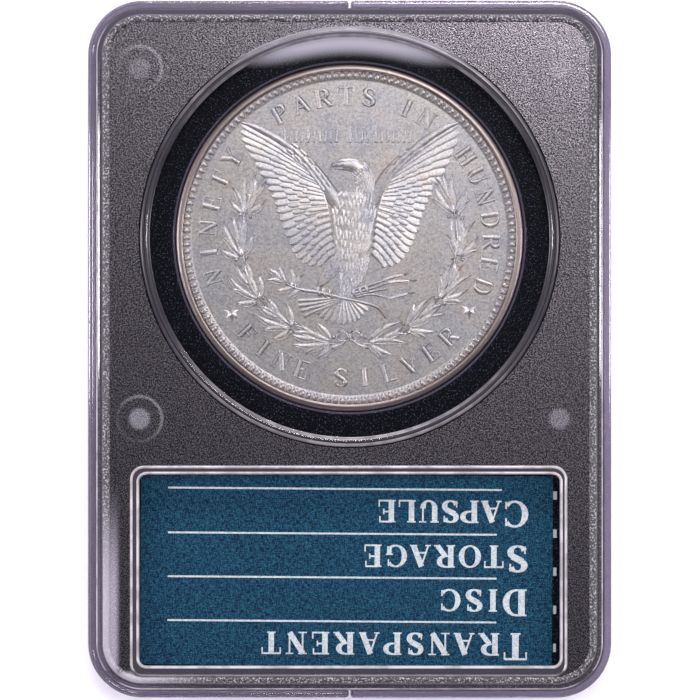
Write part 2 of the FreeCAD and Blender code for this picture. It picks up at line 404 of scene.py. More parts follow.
def face_patches(upper, lower):
    """The two parts of a half's outer face. Each runs from its outer loop over the frosted field
    to a window: a ring and disc round the coin, and a frame and pane over the label. Rows come
    with the kind of surface that the strip up to the next row has."""
    rays = upper - COIN_CENTRE
    rays /= np.linalg.norm(rays, axis=1, keepdims=True)
    round_edge = COIN_CENTRE + RING_OUTER * MM * rays
    rows, kinds = [], []
    for share in np.linspace(0, 1, 7)[:-1]:
        rows.append(raised(upper + (round_edge - upper) * share, FACE_Z))
        kinds.append(FROST)
    ring = [(23.0, 6.15), (22.86, 6.15), (22.84, 6.25), (22.76, 6.35), (22.66, 6.4), (22.5, 6.4)]
    ring += [(22.46, 6.36), (22.4, 6.36), (22.36, 6.4), (22.2, 6.4), (22.12, 6.37), (21.95, 6.2)]
    ring += [(21.87, 6.08), (21.8, 6.05), (21.75, 6.05), (14.0, 6.05), (0.0, 6.05)]
    for radius, z in ring:
        rows.append(raised(COIN_CENTRE + radius * MM * rays, z * MM))
        clear = radius in RING_ROOTS or radius < RING_INNER
        lip = radius > RING_TOP[1] or radius < RING_TOP[0]
        kinds.append(PANE if clear else RING_LIP if lip else SMOOTH)
    patches = [(np.concatenate(rows), kinds[:-1])]

    rays = lower - LABEL_CENTRE
    rays /= np.linalg.norm(rays, axis=1, keepdims=True)
    frame_centre = np.array([-0.1, -24.25]) * MM
    pane_centre = np.array([0.0, -24.1]) * MM

    def outer(inset):
        size = (47.7 - 2 * inset, 23.1 - 2 * inset, 1.5 - inset)
        return rounded_loop(rays, LABEL_CENTRE, *(s * MM for s in size), frame_centre)

    def inner(spread):
        size = (45.9 + 2 * spread, 20.9 + 2 * spread, 0.8 + spread)
        return rounded_loop(rays, LABEL_CENTRE, *(s * MM for s in size), pane_centre)

    rows, kinds = [], []
    for share in np.linspace(0, 1, 4)[:-1]:
        rows.append(raised(lower + (outer(0) - lower) * share, FACE_Z))
        kinds.append(FROST)
    frame_outside = ((0, 6.15), (0.02, 6.28), (0.09, 6.37), (0.17, 6.4), (0.25, 6.37), (0.3, 6.33))
    for inset, z in frame_outside:
        rows.append(raised(outer(inset), z * MM))
        kinds.append(LIP)
    kinds[-1] = SMOOTH
    frame_inside = ((0.28, 6.33), (0.24, 6.37), (0.15, 6.4), (0.05, 6.34), (0.0, 6.2), (-0.03, 6.05))
    for spread, z in frame_inside:
        rows.append(raised(inner(spread), z * MM))
        kinds.append(LIP)
    kinds[-1] = PANE
    window = inner(-0.03)
    for share in (0.01, 0.4, 0.75, 1.0):
        rows.append(raised(window + (LABEL_CENTRE - window) * share, WINDOW_Z))
        kinds.append(PANE)
    patches.append((np.concatenate(rows), kinds[:-1]))
    return patches


def half_shell():
    """Points, faces and kinds of surface of one half, as the rear one lies. Ribs, pins and tubes
    are sections of radius and height in millimetres."""
    path, normals, left_end = outline()
    count = len(path)
    around = np.arange(count)
    grids = []
    profile = edge_profile()
    # From the cavity outwards: ceiling wall and seam, outer wall, bevel's lip, bevel, bead.
    kinds = [PANE] * 2 + [SMOOTH] * 3 + [LIP] + [SMOOTH] * 4 + [BEAD] * (len(profile) - 11)
    grids.append((band(path, normals, profile), kinds))

    def loops(inset):
        """The outer loops of the upper and lower parts, which share the split line."""
        edge = path - inset * normals
        upper, lower = edge[: left_end + 1], edge[np.r_[left_end:count, 0]]
        steps = int(2 * HALF_WIDTH / OUTLINE_STEP)
        share = np.arange(1, steps)[:, None] / steps
        seam = upper[-1] + (upper[0] - upper[-1]) * share
        return np.concatenate([upper, seam]), np.concatenate([lower, seam[::-1]])

    grids += face_patches(*loops(FIELD_INSET))
    for loop, centre in zip(loops(CAVITY_INSET), (COIN_CENTRE, LABEL_CENTRE)):
        rows = [raised(loop + (centre - loop) * share, CEILING_Z) for share in (0, 0.5, 1)]
        grids.append((np.concatenate(rows), [PANE] * 2))
    rib = [(19.12, 4.515), (19.12, 4.45), (19.17, 4.41)]
    rib += [(19.29, 4.41), (19.34, 4.45), (19.34, 4.515)]
    grids.append((post(*COIN_CENTRE, np.array(rib + rib[:1]) * MM, 240), [SMOOTH] * 6))
    pin = [(0, 4.5), (1.1, 4.5), (1.1, 2.1), (1.0, 2.0), (0, 2.0)]
    tube = [(1.15, 4.5), (2.45, 4.5), (2.45, 3.3), (2.4, 3.25), (1.2, 3.25), (1.15, 3.3)]
    for y in POST_YS:
        grids.append((post(POST_X, y, np.array(pin) * MM), [SMOOTH] * 4))
        grids.append((post(-POST_X, y, np.array(tube + tube[:1]) * MM), [SMOOTH] * 6))

    lip = skirt(path, normals)
    grids.append((lip, [SMOOTH] * (len(lip) - 1)))
    points, faces, slots = [], [], []
    first = 0
    for grid, strip_kinds in grids:
        rows, columns = grid.shape[:2]
        points.append(grid.reshape(-1, 3))
        faces.append(quads(rows, columns, first))
        slots.append(np.repeat(strip_kinds, columns))
        first += rows * columns
    start = first - rows * columns
    ends = [list(range(start, start + columns)), list(range(first - columns, first))]
    corners = np.concatenate(faces).tolist() + ends
    return np.concatenate(points), corners, np.concatenate(slots + [[SMOOTH, SMOOTH]])


def turned_over(points):
    """The same points turned half way about the slab's long axis."""
    return np.array([0, 0, THICKNESS + 2 * cad_low.z]) + points * np.array([-1, 1, -1])


def polished_material():
    """Polished edge: tinted plastic that bends light, and that lamps shine through."""
    paint = Paint("clear_edge")
    sockets = {"Base Color": (0.25, 0.225, 0.29, 1), "Roughness": 0.06, "IOR": 1.5}
    sockets["Transmission Weight"] = 0.82
    plastic = paint.node("BsdfPrincipled", None, sockets)
    lamp = paint.node("BsdfTransparent", None, {"Color": (0.8, 0.77, 0.86, 1)})
    shadow = paint.node("LightPath", out="Is Shadow Ray")
    return paint.surface(paint.node("MixShader", None, {0: shadow, 1: plastic, 2: lamp}))


def window_material():
    """Windows: flat, so what is behind shows unbent, under a faint mirror and a few hairlines. A
    hazy crescent of painted light at the coin window's far edge stands for light caught there."""
    paint = Paint("clear_window")
    x, y = paint.x_and_y()
    y = y - COIN_CENTRE[1]
    radius = (x * x + y * y) ** 0.5
    # Painted light: a grey diffuse haze mixed in at the coin window's far edge.
    painted_crescent = radius.step(19.5 * MM, 21.2 * MM) * y.step(18.3 * MM, 20.8 * MM)
    painted_haze = paint.node("BsdfDiffuse", None, {"Color": (0.36, 0.345, 0.41, 1)})
    hair = paint.noise(0.5 * MM, 1.0, paint.place((1.0, 0.02, 1.0), 0.7))
    normal = paint.bump(hair, 0.15, 0.01 * MM)
    mirror = paint.node("BsdfGlossy", None, {"Roughness": 0.05, "Normal": normal})
    clear = paint.node("BsdfTransparent", None, {"Color": (0.975, 0.975, 0.985, 1)})
    facing = paint.node("LayerWeight", None, {"Blend": 0.5}, out="Facing")
    share = facing**5 * 0.9 + 0.012
    glass = paint.node("MixShader", None, {0: share, 1: clear, 2: mirror})
    return paint.surface(paint.node("MixShader", None, {0: painted_crescent * 0.8, 1: glass, 2: painted_haze}))


def post_glow_mask(paint):
    """Painted light, 1 over the welded posts: a disc over each, and a ring round those in sockets,
    each weighted by where the light falls on them.
    """
    x, y = paint.x_and_y()
    from_middle = y - (POST_YS[0] + POST_YS[1]) / 2
    from_row = abs(from_middle) - (POST_YS[0] - POST_YS[1]) / 2
    from_column = abs(x) - POST_X
    radius = (from_row * from_row + from_column * from_column) ** 0.5
    disc = radius.step(1.4 * MM, 0.8 * MM) * (0.45 + 0.55 * from_middle.step(3 * MM, -3 * MM))
    disc = disc * (0.7 + 0.3 * x.step(1 * MM, -1 * MM))
    ring = radius.step(2.15 * MM, 2.4 * MM) * radius.step(2.7 * MM, 2.5 * MM)
    lit = (from_row * from_middle.math("SIGN", from_middle) - from_column).step(-2.5 * MM, 3 * MM)
    return disc + ring * x.step(1 * MM, -1 * MM) * (0.15 + 0.6 * lit)


def corner_glow(paint):
    """Light that gathers in the low-X, low-Y corner, outside the label's frame."""
    x, y = paint.x_and_y()
    along_side = x.step(-24.9 * MM, -25.7 * MM) * y.step(-14 * MM, -27 * MM)
    along_foot = y.step(-34.9 * MM, -35.6 * MM) * x.step(-14 * MM, -24 * MM)
    return along_side.math("MAXIMUM", along_side, along_foot) * 0.85


def frosted_material():
    """Frosted face: a fine spark texture over the black core, painted paler over the posts and in one
    corner as painted light.
    """
    paint = Paint("frosted_face")
    fine = paint.noise(0.13 * MM, 1.0)
    sand = paint.noise(0.14 * MM, 1.0, paint.place((1, 1, 1), 0.8))
    tone = paint.blend(fine.step(0.56, 0.68), (0.002, 0.0015, 0.003, 1), (0.03, 0.025, 0.038, 1))
    # Painted light: the face is painted paler over the posts, and in the low-X, low-Y corner.
    tone = paint.blend(post_glow_mask(paint) * (0.2 + sand * 0.5), tone, (0.36, 0.345, 0.4, 1))
    tone = paint.blend(corner_glow(paint), tone, (0.4, 0.37, 0.45, 1))
    sockets = {"Base Color": tone, "Roughness": 0.115 + sand.step(0.4, 0.6) * 0.18, "IOR": 2.0}
    sockets["Normal"] = paint.bump(fine, 1.0, 0.011 * MM)
    sockets["Specular IOR Level"] = 1.0
    sockets["Specular Tint"] = (0.94, 0.87, 1.0, 1)
    return paint.principled(sockets)


def bead_material():
    """The bead: the same texture, coarser, on plastic that some light gets into."""
    paint = Paint("textured_bead")
    coarse = paint.noise(0.2 * MM, 2.0)
    tone = paint.blend(coarse.step(0.5, 0.66), (0.02, 0.017, 0.026, 1), (0.42, 0.38, 0.43, 1))
    tone = paint.blend(corner_glow(paint), tone, (0.42, 0.385, 0.47, 1))
    normal = paint.bump(coarse, 1.0, 0.1 * MM)
    return paint.principled({"Base Color": tone, "Roughness": 0.3, "IOR": 1.6, "Normal": normal})


def lip_highlight_material(name, around_coin):
    """Rounded lips, their colour painted light for the light they gather from all round and send
    up: least along both ends of the slab and, where they go round the coin, least on the left and
    right."""
    paint = Paint(name)
    y = paint.x_and_y()[1]
    ripple = paint.noise(1.8 * MM, 2.0)
    if around_coin:
        lit = abs(y - COIN_CENTRE[1]).step(8 * MM, 22 * MM) * 0.45 + 0.03
    else:
        foot = y.step(-34.9 * MM, -35.2 * MM) * y.step(-36.6 * MM, -36.2 * MM)
        lit = (1 - foot * 0.85) * y.step(36.5 * MM, 33 * MM) * 0.9 + 0.08
    lit = lit * (0.55 + 0.45 * ripple.step(0.35, 0.65))
    # Painted highlight: the colour goes from near black to pale by this painted light.
    tone = paint.blend(lit, (0.02, 0.017, 0.025, 1), (0.52, 0.48, 0.52, 1))
    normal = paint.bump(ripple, 0.3, 0.03 * MM)
    return paint.principled({"Base Color": tone, "Roughness": 0.28, "IOR": 1.5, "Normal": normal})


shell_materials = [polished_material(), bead_material(), frosted_material(), window_material()]
shell_materials += [lip_highlight_material("frame_lip", False), lip_highlight_material("ring_lip", True)]
shell_points, shell_faces, shell_slots = half_shell()
for name, place in (("front", turned_over), ("rear", lambda points: points)):
    made = add_mesh(f"{name}_half", place(shell_points), shell_faces, shell_materials, shell_slots)
    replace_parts(made, f"{name}_shell")
    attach(made, "slab")

# ---- Black core ------------------------------------------------------------------------------
# A sheet of black plastic die-cut for the coin, with a shallow pocket each side for the labels.
# It is loose between the halves, held by the posts that pass through it.
core_paint = Paint("black_core_sheet")
core_dust = core_paint.noise(0.16 * MM, 1.0)
core_cloud = core_paint.noise(6 * MM, 2.0)
DUST = (0.06, 0.065, 0.1, 1)
core_tone = core_paint.blend(core_dust.step(0.6, 0.72), (0.001, 0.0013, 0.003, 1), DUST)
core_sockets = {"Base Color": core_tone, "Roughness": 0.3 + core_cloud * 0.2}
core_sockets["Normal"] = core_paint.bump(core_dust, 0.3, 0.02 * MM)
core_sockets["Specular IOR Level"] = 0.06
core_material = core_paint.principled(core_sockets)
core_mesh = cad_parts["core_insert"].data
core_mesh.materials.clear()
core_mesh.materials.append(core_material)

# ---- Coin blank ------------------------------------------------------------------------------
# A silver disc struck between two dies inside a reeded collar. The rim stands above the field
# and a ring of beads runs inside it. It lies loose in the core's hole and is free to turn.
COIN_X, COIN_Y = 0.0, 12.2
COIN_MIDDLE_Z = 3.2
COIN_RADIUS = 19.05
FIELD_Z = 4.12
DISH = 0.03
REEDS = 189
REED_DEPTH = 0.09
BEADS = 148
BEAD_CIRCLE = 17.83


def coin_disc():
    """A disc swept round from a profile of radius and height, the same on both sides. Reeds are
    a square wave in the radius of the edge's two middle rows, four columns to each reed."""
    flat = np.array([0.0, 3.0, 6.0, 9.0, 12.0, 14.5, 16.3, 17.25])
    field = np.column_stack([flat, FIELD_Z - DISH * (1 - (flat / flat[-1]) ** 2)])
    rim = [(17.3, FIELD_Z), (17.4, 4.14), (18.2, 4.15), (18.25, 4.29), (18.31, 4.36), (18.4, 4.4)]
    rim += [(18.52, 4.4), (18.66, 4.385), (18.8, 4.35), (18.92, 4.3), (19.02, 4.22)]
    rim += [(COIN_RADIUS, 4.16), (COIN_RADIUS, 4.12)]
    top = np.concatenate([field, rim])
    profile = np.concatenate([top, (top * (1, -1) + (0, 2 * COIN_MIDDLE_Z))[::-1]])
    column = np.arange(REEDS * 4)
    turn = column / len(column) * 2 * np.pi
    radius = np.repeat(profile[:, :1], len(column), 1)
    middle = len(top)
    radius[middle - 1 : middle + 1] -= REED_DEPTH * (column % 4 > 1)
    height = np.repeat(profile[:, 1:], len(column), 1)
    points = np.stack([radius * np.cos(turn), radius * np.sin(turn), height], 2)
    return points.reshape(-1, 3), quads(len(profile), len(column), 0).tolist()


def joined(groups):
    """Several pairs of points and faces as one pair."""
    points, faces, first = [], [], 0
    for group_points, group_faces in groups:
        points.append(group_points)
        faces += [[first + corner for corner in face] for face in group_faces]
        first += len(group_points)
    return np.concatenate(points), faces


def copies(faces, count, size):
    """The faces of count solids like the first, each of size points, one after another."""
    return [[corner + i * size for corner in face] for i in range(count) for face in faces]


def unit(directions):
    """Directions made one long."""
    return directions / np.linalg.norm(directions, axis=-1, keepdims=True)


def domes(centres, across, along, turn, base, rise, sides=8):
    """Low domes: half ellipsoids of the half sizes across and along, turned by an angle, standing
    on the height base. Each is three rings, a top point and a flat bottom."""
    centres = np.atleast_2d(centres)
    count = len(centres)
    lift = np.radians([-12.0, 22.0, 52.0, 90.0])[None, :, None]
    around = (np.arange(sides) / sides * 2 * np.pi)[None, None]
    turn, across, along, base, rise = (
        np.broadcast_to(value, count)[:, None, None] for value in (turn, across, along, base, rise)
    )
    x = across * np.cos(lift) * np.cos(around)
    y = along * np.cos(lift) * np.sin(around)
    flat_x = centres[:, 0, None, None] + x * np.cos(turn) - y * np.sin(turn)
    flat_y = centres[:, 1, None, None] + x * np.sin(turn) + y * np.cos(turn)
    height = np.broadcast_to(base + rise * np.sin(lift), flat_x.shape)
    points = np.stack([flat_x, flat_y, height], 3).reshape(-1, 3)
    return points, copies(quads(4, sides, 0).tolist() + [list(range(sides))], count, 4 * sides)


def silver_material(name, rough, warm, bright):
    """Struck silver: flow lines and bag marks in the surface, and toning by place and radius. Its
    colours are bright times those of clean metal."""
    paint = Paint(name)

    def shade(*colour):
        return tuple(bright * part for part in colour) + (1,)

    x, y = paint.x_and_y()
    y = y - COIN_Y * MM
    radius = (x * x + y * y) ** 0.5
    cloud = paint.noise(5 * MM, 3.0)
    patch = paint.noise(2.4 * MM, 4.0, paint.place((1, 1, 1), 1.1))
    grain = paint.noise(0.2 * MM, 2.0)
    marks = paint.noise(0.5 * MM, 2.0, paint.place((1.0, 0.12, 1.0), 0.5))
    tone = paint.blend(cloud.step(0.35, 0.68), shade(1.0, 0.95, 0.92), shade(0.88, 0.87, 0.92))
    tone = paint.blend(patch.step(0.5, 0.7) * 0.5, tone, shade(0.66, 0.67, 0.8))
    tone = paint.blend(patch.step(0.46, 0.3) * 0.7, tone, shade(1.02, 0.9, 0.84))
    tone = paint.blend(grain.step(0.52, 0.66) * 0.6, tone, shade(0.6, 0.53, 0.54))
    tone = paint.blend(grain.step(0.48, 0.34) * 0.45, tone, shade(1.4, 1.33, 1.28))
    rim = radius.step(17.0 * MM, 18.6 * MM)
    tone = paint.blend(rim * warm, tone, shade(0.72, 0.57, 0.54))
    sockets = {"Base Color": tone, "Metallic": 1.0, "Roughness": rough + cloud * 0.1}
    sockets["Normal"] = paint.bump(grain + marks * 0.8, 0.5, 0.02 * MM)
    return paint.principled(sockets)


def strike(name, groups, material, under=False, sharp_deg=50.0):
    """A piece of the coin from points in millimetres about its centre, riding with the coin."""
    points, faces = joined(groups)
    placed = (points + (COIN_X, COIN_Y, 0)) * MM
    if under:
        placed = turned_over(placed)
    made = add_mesh(name, placed, faces, [material], sharp_deg=sharp_deg)
    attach(made, "coin")
    return made


silver_field = silver_material("silver_field", 0.33, 0.8, 0.37)
silver_relief = silver_material("silver_relief", 0.39, 0.3, 0.44)
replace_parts(strike("coin_blank", [coin_disc()], silver_field, sharp_deg=34.0), "coin")

bead_turn = np.arange(BEADS) / BEADS * 2 * np.pi
bead_ring = domes(BEAD_CIRCLE * spoke(bead_turn), 0.45, 0.31, bead_turn, FIELD_Z, 0.22)
strike("rear_beads", [bead_ring], silver_relief)
strike("front_beads", [bead_ring], silver_relief, under=True)

# ---- Coin lettering --------------------------------------------------------------------------
# Roman capitals cut into the die, so that they stand up from the field. Each is built of straight
# bars, thick and thin, and of bows that swell at their sides, as a punch cutter makes them.
HEAVY = 0.13
LIGHT = 0.062
SERIF = 0.05
SERIF_REACH = 0.2
LETTER_RISE = 0.25
BOW_POINTS = 15
LEGEND_HEIGHT = 1.86
LEGEND_RADIUS = 15.55
STAR_CIRCLE = 15.35
SUNK = 0.02
LETTER_BASE_Z = FIELD_Z - 0.05
LETTER_SIDE = ((-1.35, 0), (-0.85, 0.85), (-0.6, 1))


def both_sides(left):
    """A section from its left half: the same points mirrored follow in reverse."""
    return np.array(list(left) + [(-x, z) for x, z in left[::-1] if x])


LETTER_SECTION = both_sides(LETTER_SIDE)


def ridges(paths, half_widths, section, base, rise):
    """Solid strokes, all with as many points: paths is stroke by point by two. At each point the
    section's first number times the half width goes across the path, and its second times rise
    goes up from base. Quads join the sections, and flat caps close the ends."""
    paths = np.asarray(paths, float)
    strokes, length = paths.shape[:2]
    across = unit(np.gradient(paths, axis=1))[..., ::-1] * (-1, 1)
    half_widths, base, rise = (
        np.broadcast_to(value, (strokes, length))[..., None] for value in (half_widths, base, rise)
    )
    flat = paths[:, :, None] + across[:, :, None] * (half_widths * section[:, 0])[..., None]
    height = base + rise * section[:, 1]
    points = np.concatenate([flat, height[..., None]], 3).reshape(-1, 3)
    corners = len(section)
    size = length * corners
    one = quads(length, corners, 0).tolist()
    one += [list(range(corners)), list(range(size - corners, size))]
    return points, copies(one, strokes, size)


def stem(x, right=SERIF_REACH, half=HEAVY):
    """An upright bar with a serif at each end."""
    serifs = [(x - SERIF_REACH, y, x + right, y, SERIF) for y in (0.0, 1.0)]
    return [(x, 0.0, x, 1.0, half)] + serifs


def glyphs():
    """Each capital as its width, its bars and its bows. A bar is two points and a half width. A
    bow is a centre, two radii and two angles in degrees. All are parts of the letter's height."""
    arms = [(0.2, 1, 0.74, 1, LIGHT), (0.74, 1.03, 0.74, 0.74, SERIF)]
    tongue = [(0.2, 0.52, 0.56, 0.52, LIGHT), (0.56, 0.65, 0.56, 0.39, SERIF)]
    foot = [(0.2, 0, 0.78, 0, LIGHT), (0.78, -0.03, 0.78, 0.3, SERIF)]
    hooks = [(0.84, 0.98, 0.84, 0.66, SERIF), (0.84, 0.02, 0.84, 0.3, SERIF)]
    bowl = (0.38, 0.745, 0.36, 0.255, -90, 90)
    bowl_bars = [(0.2, 1, 0.4, 1, LIGHT), (0.2, 0.49, 0.4, 0.49, LIGHT)]
    a_bars = [(0.1, 0, 0.44, 1, LIGHT), (0.42, 1, 0.8, 0, HEAVY), (0.22, 0.34, 0.68, 0.34, LIGHT)]
    a_bars += [(-0.02, 0, 0.24, 0, SERIF), (0.62, 0, 0.96, 0, SERIF)]
    d_bars = stem(0.2, right=0.15) + [(0.2, 1, 0.42, 1, LIGHT), (0.2, 0, 0.42, 0, LIGHT)]
    g_bars = [hooks[0], (0.8, 0.04, 0.8, 0.42, HEAVY * 0.8), (0.62, 0.42, 0.96, 0.42, SERIF)]
    n_bars = stem(0.18, half=LIGHT) + [(0.16, 1, 0.8, 0, HEAVY), (0.8, 0, 0.8, 1, LIGHT)]
    n_bars += [(0.62, 1, 0.98, 1, SERIF)]
    r_bars = stem(0.2) + bowl_bars + [(0.46, 0.49, 0.84, 0, HEAVY * 0.9), (0.7, 0, 1, 0, SERIF)]
    s_bars = [(0.66, 1, 0.66, 0.7, SERIF), (0.08, 0, 0.08, 0.3, SERIF)]
    s_bars += [(0.16, 0.62, 0.58, 0.4, HEAVY)]
    t_bars = stem(0.43) + [(0, 1, 0.86, 1, LIGHT), (0, 1.03, 0, 0.72, SERIF)]
    t_bars += [(0.86, 1.03, 0.86, 0.72, SERIF)]
    u_bars = [(0.2, 0.34, 0.2, 1, HEAVY), (0.76, 0.34, 0.76, 1, LIGHT)]
    u_bars += [(0, 1, 0.4, 1, SERIF), (0.6, 1, 0.94, 1, SERIF)]
    v_bars = [(0.12, 1, 0.48, 0, HEAVY), (0.46, 0, 0.8, 1, LIGHT)]
    v_bars += [(-0.04, 1, 0.3, 1, SERIF), (0.66, 1, 0.94, 1, SERIF)]
    y_bars = [(0.1, 1, 0.46, 0.46, HEAVY), (0.78, 1, 0.46, 0.46, LIGHT), (0.46, 0, 0.46, 0.5, HEAVY)]
    y_bars += [(-0.04, 1, 0.28, 1, SERIF), (0.64, 1, 0.92, 1, SERIF), (0.26, 0, 0.66, 0, SERIF)]
    return {
        "A": (0.92, a_bars, []),
        "C": (0.9, hooks, [(0.5, 0.5, 0.42, 0.5, 42, 318)]),
        "D": (0.9, d_bars, [(0.4, 0.5, 0.42, 0.5, -90, 90)]),
        "E": (0.82, stem(0.2) + arms + tongue + foot, []),
        "F": (0.78, stem(0.2) + arms + tongue, []),
        "G": (0.94, g_bars, [(0.5, 0.5, 0.42, 0.5, 42, 322)]),
        "H": (0.98, stem(0.2) + stem(0.78) + [(0.2, 0.52, 0.78, 0.52, LIGHT)], []),
        "I": (0.44, stem(0.22), []),
        "L": (0.8, stem(0.2) + foot, []),
        "N": (0.98, n_bars, []),
        "O": (0.96, [], [(0.48, 0.5, 0.4, 0.5, 86, 274), (0.48, 0.5, 0.4, 0.5, 266, 454)]),
        "P": (0.8, stem(0.2) + bowl_bars, [bowl]),
        "R": (0.94, r_bars, [bowl]),
        "S": (0.76, s_bars, [(0.37, 0.76, 0.27, 0.24, 20, 220), (0.37, 0.25, 0.28, 0.25, -160, 45)]),
        "T": (0.86, t_bars, []),
        "U": (0.94, u_bars, [(0.48, 0.36, 0.28, 0.36, 180, 360)]),
        "V": (0.92, v_bars, []),
        "Y": (0.9, y_bars, []),
    }


GLYPHS = glyphs()


def capital(letter, centre, right, up, height, section, base, rise, hairline=1.0):
    """One letter's strokes, its box centred on a point and drawn along the directions right and
    up. A bow's half width goes from thin at top and bottom to thick at the sides as cos^2. Thin
    strokes are hairline times as wide, and strokes that cross differ a little in height."""
    width, bars, bows = GLYPHS[letter]
    axes = height * np.array([right, up])

    def placed(points):
        return centre + (np.asarray(points, float) - (width / 2, 0.5)) @ axes

    groups = []
    if bars:
        bars = np.array(bars)
        halves = np.repeat(bars[:, 4:], 2, 1) * height
        halves = np.where(halves < 0.7 * HEAVY * height, halves * hairline, halves)
        rises = rise * (1 - 0.06 * np.arange(len(bars)))[:, None]
        groups.append(ridges(placed(bars[:, :4].reshape(-1, 2, 2)), halves, section, base, rises))
    if bows:
        x, y, rx, ry, start, end = (value[:, None] for value in np.array(bows).T)
        turn = np.radians(start + (end - start) * np.linspace(0, 1, BOW_POINTS))
        path = np.stack([x + rx * np.cos(turn), y + ry * np.sin(turn)], 2)
        thin = LIGHT * hairline
        halves = (thin + (HEAVY - thin) * np.cos(turn) ** 2) * height
        rises = rise * (1.06 + 0.06 * np.arange(len(bows)))[:, None]
        groups.append(ridges(placed(path), halves, section, base, rises))
    return groups


def legend(words, radius, height, foot_outward=False):
    """Words round the coin: each letter is turned to stand on its own radius, at even steps from
    the first letter's angle to the last letter's."""
    groups = []
    for word, first_deg, last_deg in words:
        for letter, turn in zip(word, np.radians(np.linspace(first_deg, last_deg, len(word)))):
            ray = spoke(turn)
            up = -ray if foot_outward else ray
            right = np.array([up[1], -up[0]])
            place = (radius * ray, right, up, height, LETTER_SECTION)
            groups += capital(letter, *place, LETTER_BASE_Z, LETTER_RISE)
    return groups


def star(centre, size, turn, base, rise, tips=6, waist=0.46):
    """A faceted star: an outline that alternates between size and waist times size, with a peak
    over its middle and a point below."""
    around = turn + np.arange(2 * tips) / tips * np.pi
    reach = size * np.where(np.arange(2 * tips) % 2, waist, 1.0)
    rim = centre + reach[:, None] * spoke(around)
    points = np.column_stack([rim, np.full(2 * tips, base)])
    points = np.concatenate([points, [(*centre, base + rise)], [(*centre, base - 0.03)]])
    follower = (np.arange(2 * tips) + 1) % (2 * tips)
    faces = [[i, int(j), 2 * tips] for i, j in enumerate(follower)]
    faces += [[int(j), i, 2 * tips + 1] for i, j in enumerate(follower)]
    return points, faces


def minims():
    """The motto's place: groups of short blackletter minims, with a lozenge at head and foot, that
    spell nothing."""
    groups = []
    for first, count in ((-7.1, 4), (-4.5, 6), (0.1, 4), (2.9, 7)):
        x = first + 0.62 * np.arange(count)
        foot = np.column_stack([x, x * 0 + 10.55])
        stems = np.stack([foot, foot + (0.05, 1.05)], 1)
        groups.append(ridges(stems, 0.12, LETTER_SECTION, LETTER_BASE_Z, 0.17))
        feet = np.concatenate([stems[:, 0], stems[:, 1]])
        groups.append(domes(feet, 0.22, 0.17, 0.6, FIELD_Z - SUNK, 0.15, sides=4))
        tall = stems[:1] + ((0, 0.2), (-0.1, 0.55))
        groups.append(ridges(tall, 0.1, LETTER_SECTION, LETTER_BASE_Z, 0.16))
    return groups


# A word is its letters and the angles of its first and last letter.
upper_words = (("NINETY", 196, 146), ("PARTS", 119.5, 82), ("IN", 66, 57), ("HUNDRED", 35, -20))
lower_words = (("FINE", 223, 250), ("SILVER", 266.5, 315))
rear_legend = legend(upper_words, LEGEND_RADIUS, LEGEND_HEIGHT)
rear_legend += legend(lower_words, LEGEND_RADIUS - 0.2, LEGEND_HEIGHT, foot_outward=True)
for turn in np.radians([213.0, -31.4]):
    rear_legend.append(star(STAR_CIRCLE * spoke(turn), 1.0, turn, FIELD_Z - SUNK, 0.24))
strike("rear_legend", rear_legend + minims(), silver_relief)

# ---- Eagle -----------------------------------------------------------------------------------
# The die's main figure, in low relief: an eagle with raised wings, its feathers cut in layers
# that overlap like roof tiles, standing on an olive branch and a bundle of arrows.
FEATHER_SECTION = both_sides(((-1, 0), (-0.88, 0.78), (-0.5, 0.93), (-0.1, 0.9), (0, 1)))
LEAF_SECTION = both_sides(((-1, 0), (-0.88, 0.76), (-0.45, 0.7), (0, 1)))
half_turn = np.linspace(0, np.pi, 9)
ROUND_SECTION = np.column_stack([-np.cos(half_turn), np.sin(half_turn)])
GROUND_Z = FIELD_Z - 0.06
FEATHER_ROWS = 10
# A tier is its number of feathers, where they start and stop, how high they lie and their rise.
TIERS = ((21, 0.04, 1.0, 0.0, 0.15), (20, 0.02, 0.74, 0.05, 0.13), (19, 0.0, 0.53, 0.09, 0.12))
TIERS += ((18, 0.0, 0.34, 0.13, 0.11),)
TILE_SECTION = np.array(
    [(-1, 0), (-1, 0.35), (-0.3, 0.72), (0.4, 0.95), (0.8, 1), (0.96, 0.85), (1, 0)]
)
LEFT_TIPS = ((-11.8, 12.4), (-11.9, 11.2), (-11.2, 9.8), (-10.3, 8.2), (-9.5, 6.6), (-8.8, 5.2))
LEFT_TIPS += ((-8.2, 3.8), (-7.8, 2.4), (-7.2, 0.9), (-6.6, -0.6), (-5.9, -2.0), (-4.9, -2.9))
LEFT_TIPS += ((-3.5, -3.0),)
RIGHT_TIPS = ((11.8, 12.5), (11.9, 11.0), (11.2, 9.2), (10.5, 7.4), (9.7, 5.8), (8.9, 4.6))
RIGHT_TIPS += ((8.3, 3.2), (7.8, 1.8), (7.3, 0.4), (6.8, -0.8), (6.1, -2.0), (5.2, -2.9))
RIGHT_TIPS += ((4.0, -3.2),)
ROOTS = ((-3.3, 6.7), (-3.3, 6.4), (-3.2, 6.1), (-3.1, 5.7), (-3.0, 5.2), (-2.8, 4.7), (-2.6, 4.1))
ROOTS += ((-2.4, 3.4), (-2.2, 2.6), (-2.1, 1.7), (-2.0, 0.8), (-1.9, -0.3), (-1.8, -1.4))
LEFT_ARM = ((-1.0, 3.2), (-2.2, 5.0), (-3.5, 6.8), (-5.4, 9.0), (-7.7, 10.7), (-10.2, 12.05))
LEFT_ARM += ((-11.8, 12.6),)
RIGHT_ARM = ((2.0, 3.2), (3.1, 4.9), (4.2, 6.8), (6.2, 8.9), (8.5, 10.75), (10.5, 12.0), (11.9, 12.6))
ARM_HALVES = (0.7, 0.85, 0.8, 0.62, 0.5, 0.36, 0.12)
ARM_RISES = (0.2, 0.27, 0.27, 0.25)
